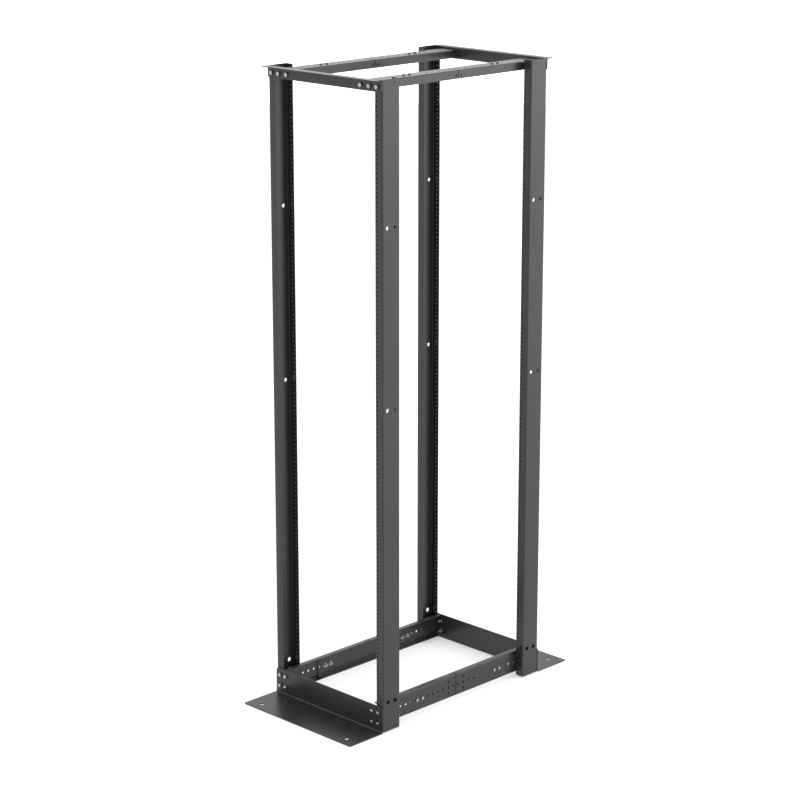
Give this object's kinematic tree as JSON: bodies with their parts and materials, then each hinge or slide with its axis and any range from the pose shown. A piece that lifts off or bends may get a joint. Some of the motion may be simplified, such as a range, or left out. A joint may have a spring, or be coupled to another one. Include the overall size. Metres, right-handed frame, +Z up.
{
  "type": "four-post open network rack",
  "caption": "Tall open rack frame: folded steel channel posts with equipment holes, joined by side rails, on wide floor plates that bolt down; its depth adjusts along spliced rails.",
  "frame": {"origin": "on the floor under the centre of the rack", "axes": "+X to the right seen from the front, +Y from the front to the rear, +Z up"},
  "size_m": [0.5136, 1.0604, 2.137],
  "materials": {
    "black_powder_coat": "satin textured powder coat",
    "zinc_steel": "bright zinc plate",
    "black_oxide_steel": "black oxide"
  },
  "bodies": {
    "front_frame": {"post_front_left": "black_powder_coat", "post_front_right": "black_powder_coat", "base_angle_front": "black_powder_coat", "top_angle_front": "black_powder_coat", "bottom_rail_left_front": "black_powder_coat", "bottom_rail_right_front": "black_powder_coat", "top_rail_left_front": "black_powder_coat", "top_rail_right_front": "black_powder_coat", "base_bolt_front_left_1": "zinc_steel", "base_bolt_front_left_2": "zinc_steel", "base_bolt_front_left_3": "zinc_steel", "base_bolt_front_left_4": "zinc_steel", "top_bolt_front_left_1": "zinc_steel", "top_bolt_front_left_2": "zinc_steel", "top_bolt_front_left_3": "zinc_steel", "base_bolt_front_right_1": "zinc_steel", "base_bolt_front_right_2": "zinc_steel", "base_bolt_front_right_3": "zinc_steel", "base_bolt_front_right_4": "zinc_steel", "top_bolt_front_right_1": "zinc_steel", "top_bolt_front_right_2": "zinc_steel", "top_bolt_front_right_3": "zinc_steel", "bottom_splice_left": "black_powder_coat", "top_splice_left": "black_powder_coat", "splice_bolt_left_front_1": "zinc_steel", "splice_bolt_left_front_2": "zinc_steel", "top_splice_screw_left_front": "black_oxide_steel", "splice_bolt_left_rear_1": "zinc_steel", "splice_bolt_left_rear_2": "zinc_steel", "top_splice_screw_left_rear": "black_oxide_steel", "bottom_splice_right": "black_powder_coat", "top_splice_right": "black_powder_coat", "splice_bolt_right_front_1": "zinc_steel", "splice_bolt_right_front_2": "zinc_steel", "top_splice_screw_right_front": "black_oxide_steel", "splice_bolt_right_rear_1": "zinc_steel", "splice_bolt_right_rear_2": "zinc_steel", "top_splice_screw_right_rear": "black_oxide_steel"},
    "rear_frame": {"post_rear_left": "black_powder_coat", "post_rear_right": "black_powder_coat", "base_angle_rear": "black_powder_coat", "top_angle_rear": "black_powder_coat", "bottom_rail_left_rear": "black_powder_coat", "bottom_rail_right_rear": "black_powder_coat", "top_rail_left_rear": "black_powder_coat", "top_rail_right_rear": "black_powder_coat", "base_bolt_rear_left_1": "zinc_steel", "base_bolt_rear_left_2": "zinc_steel", "base_bolt_rear_left_3": "zinc_steel", "base_bolt_rear_left_4": "zinc_steel", "top_bolt_rear_left_1": "zinc_steel", "top_bolt_rear_left_2": "zinc_steel", "top_bolt_rear_left_3": "zinc_steel", "base_bolt_rear_right_1": "zinc_steel", "base_bolt_rear_right_2": "zinc_steel", "base_bolt_rear_right_3": "zinc_steel", "base_bolt_rear_right_4": "zinc_steel", "top_bolt_rear_right_1": "zinc_steel", "top_bolt_rear_right_2": "zinc_steel", "top_bolt_rear_right_3": "zinc_steel"}
  },
  "joints": [
    {"name": "depth_adjust", "type": "slide", "parent": "front_frame", "child": "rear_frame", "axis": [0, 1, 0], "range_m": [0, 0.1524]}
  ]
}
